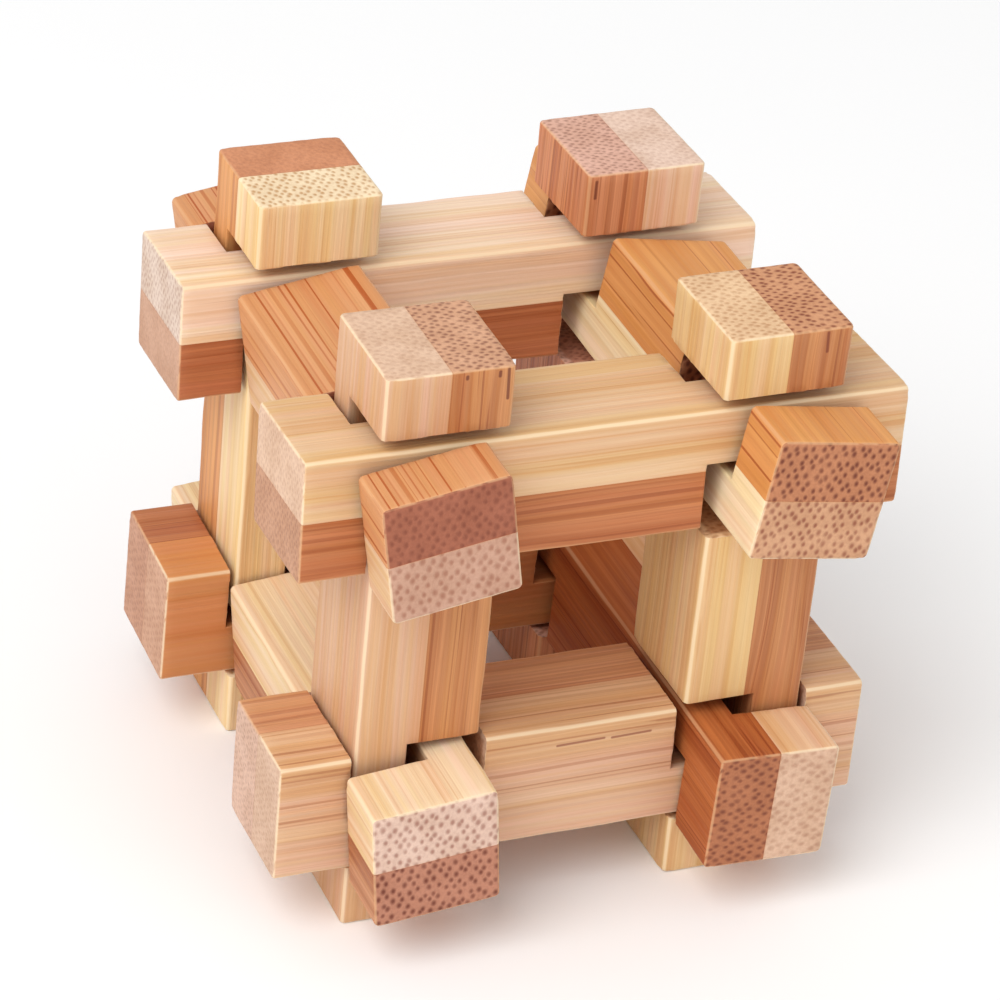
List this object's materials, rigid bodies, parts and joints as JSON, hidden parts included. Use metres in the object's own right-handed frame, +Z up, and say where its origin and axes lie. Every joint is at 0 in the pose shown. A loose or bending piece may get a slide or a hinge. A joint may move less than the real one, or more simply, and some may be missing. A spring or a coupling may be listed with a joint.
{
  "type": "wooden burr puzzle",
  "caption": "Open cube burr puzzle of notched square bars that lace together at the corners, each bar glued up from a pale and a dark bamboo strip.",
  "frame": {"origin": "on the plane the four posts stand on, under the middle of the puzzle's bounding box", "axes": "+X runs to the right along the bars named top and bottom, +Y runs to the back, and +Z runs up the posts"},
  "size_m": [0.0578, 0.0588, 0.0574],
  "materials": {
    "pale_bamboo": "natural bamboo, sanded, unvarnished, satin",
    "dark_bamboo": "carbonised bamboo, sanded, unvarnished, satin"
  },
  "bodies": {
    "front_top_bar": {"front_top_bar_pale_strip": "pale_bamboo", "front_top_bar_dark_left_block": "dark_bamboo", "front_top_bar_dark_middle_block": "dark_bamboo", "front_top_bar_dark_right_block": "dark_bamboo"},
    "back_top_bar": {"back_top_bar_pale_strip": "pale_bamboo", "back_top_bar_dark_left_block": "dark_bamboo", "back_top_bar_dark_middle_block": "dark_bamboo", "back_top_bar_dark_right_block": "dark_bamboo"},
    "front_bottom_bar": {"front_bottom_bar_pale_strip": "pale_bamboo", "front_bottom_bar_dark_left_block": "dark_bamboo", "front_bottom_bar_dark_middle_block": "dark_bamboo", "front_bottom_bar_dark_right_block": "dark_bamboo"},
    "back_bottom_bar": {"back_bottom_bar_pale_strip": "pale_bamboo", "back_bottom_bar_dark_left_block": "dark_bamboo", "back_bottom_bar_dark_middle_block": "dark_bamboo", "back_bottom_bar_dark_right_block": "dark_bamboo"},
    "left_top_bar": {"left_top_bar_pale_strip": "pale_bamboo", "left_top_bar_dark_front_block": "dark_bamboo", "left_top_bar_dark_middle_block": "dark_bamboo", "left_top_bar_dark_back_block": "dark_bamboo"},
    "right_top_bar": {"right_top_bar_pale_strip": "pale_bamboo", "right_top_bar_dark_front_block": "dark_bamboo", "right_top_bar_dark_middle_block": "dark_bamboo", "right_top_bar_dark_back_block": "dark_bamboo"},
    "left_bottom_bar": {"left_bottom_bar_pale_strip": "pale_bamboo", "left_bottom_bar_dark_front_block": "dark_bamboo", "left_bottom_bar_dark_middle_block": "dark_bamboo", "left_bottom_bar_dark_back_block": "dark_bamboo"},
    "right_bottom_bar": {"right_bottom_bar_dark_strip": "dark_bamboo", "right_bottom_bar_pale_front_block": "pale_bamboo", "right_bottom_bar_pale_middle_block": "pale_bamboo", "right_bottom_bar_pale_back_block": "pale_bamboo"},
    "front_left_post": {"front_left_post_pale_strip": "pale_bamboo", "front_left_post_dark_bottom_block": "dark_bamboo", "front_left_post_dark_middle_block": "dark_bamboo", "front_left_post_dark_top_block": "dark_bamboo"},
    "front_right_post": {"front_right_post_dark_strip": "dark_bamboo", "front_right_post_pale_bottom_block": "pale_bamboo", "front_right_post_pale_middle_block": "pale_bamboo", "front_right_post_pale_top_block": "pale_bamboo"},
    "back_left_post": {"back_left_post_dark_strip": "dark_bamboo", "back_left_post_pale_bottom_block": "pale_bamboo", "back_left_post_pale_middle_block": "pale_bamboo", "back_left_post_pale_top_block": "pale_bamboo"},
    "back_right_post": {"back_right_post_pale_strip": "pale_bamboo", "back_right_post_dark_bottom_block": "dark_bamboo", "back_right_post_dark_middle_block": "dark_bamboo", "back_right_post_dark_top_block": "dark_bamboo"}
  },
  "joints": [
    {"name": "front_top_bar_rock", "type": "hinge", "parent": "front_left_post", "child": "front_top_bar", "pos_m": [0.00023, -0.01553, 0.04379], "axis": [1, 0, 0], "range_deg": [-1, 5]},
    {"name": "back_top_bar_rock", "type": "hinge", "parent": "front_left_post", "child": "back_top_bar", "pos_m": [-0.00016, 0.01659, 0.04355], "axis": [1, 0, 0], "range_deg": [-1.5, 4.5]},
    {"name": "front_bottom_bar_rock", "type": "hinge", "parent": "front_left_post", "child": "front_bottom_bar", "pos_m": [-0.00018, -0.016, 0.01276], "axis": [1, 0, 0], "range_deg": [-1.5, 2.5]},
    {"name": "back_bottom_bar_rock", "type": "hinge", "parent": "front_left_post", "child": "back_bottom_bar", "pos_m": [-0.00023, 0.0164, 0.013], "axis": [1, 0, 0], "range_deg": [-4, 0.5]},
    {"name": "left_top_bar_rock", "type": "hinge", "parent": "front_left_post", "child": "left_top_bar", "pos_m": [-0.017, 0.00067, 0.04385], "axis": [0, 1, 0], "range_deg": [-1.5, 10]},
    {"name": "right_top_bar_rock", "type": "hinge", "parent": "front_left_post", "child": "right_top_bar", "pos_m": [0.01773, -0.00008, 0.04408], "axis": [0, 1, 0], "range_deg": [-10, 2.5]},
    {"name": "left_bottom_bar_rock", "type": "hinge", "parent": "front_left_post", "child": "left_bottom_bar", "pos_m": [-0.01623, -0.00052, 0.01195], "axis": [0, 1, 0], "range_deg": [-4, 9]},
    {"name": "right_bottom_bar_rock", "type": "hinge", "parent": "front_left_post", "child": "right_bottom_bar", "pos_m": [0.01657, -0.00067, 0.0117], "axis": [0, 1, 0], "range_deg": [-6, 7]},
    {"name": "front_right_post_rock", "type": "hinge", "parent": "front_left_post", "child": "front_right_post", "pos_m": [0.01607, -0.01582, 0.0287], "axis": [0, 0, 1], "range_deg": [-2, 0.5]},
    {"name": "back_left_post_rock", "type": "hinge", "parent": "front_left_post", "child": "back_left_post", "pos_m": [-0.01616, 0.01618, 0.0287], "axis": [0, 0, 1], "range_deg": [-2, 0.3]},
    {"name": "back_right_post_rock", "type": "hinge", "parent": "front_left_post", "child": "back_right_post", "pos_m": [0.01562, 0.01558, 0.0287], "axis": [0, 0, 1], "range_deg": [-2.5, 0.5]}
  ]
}
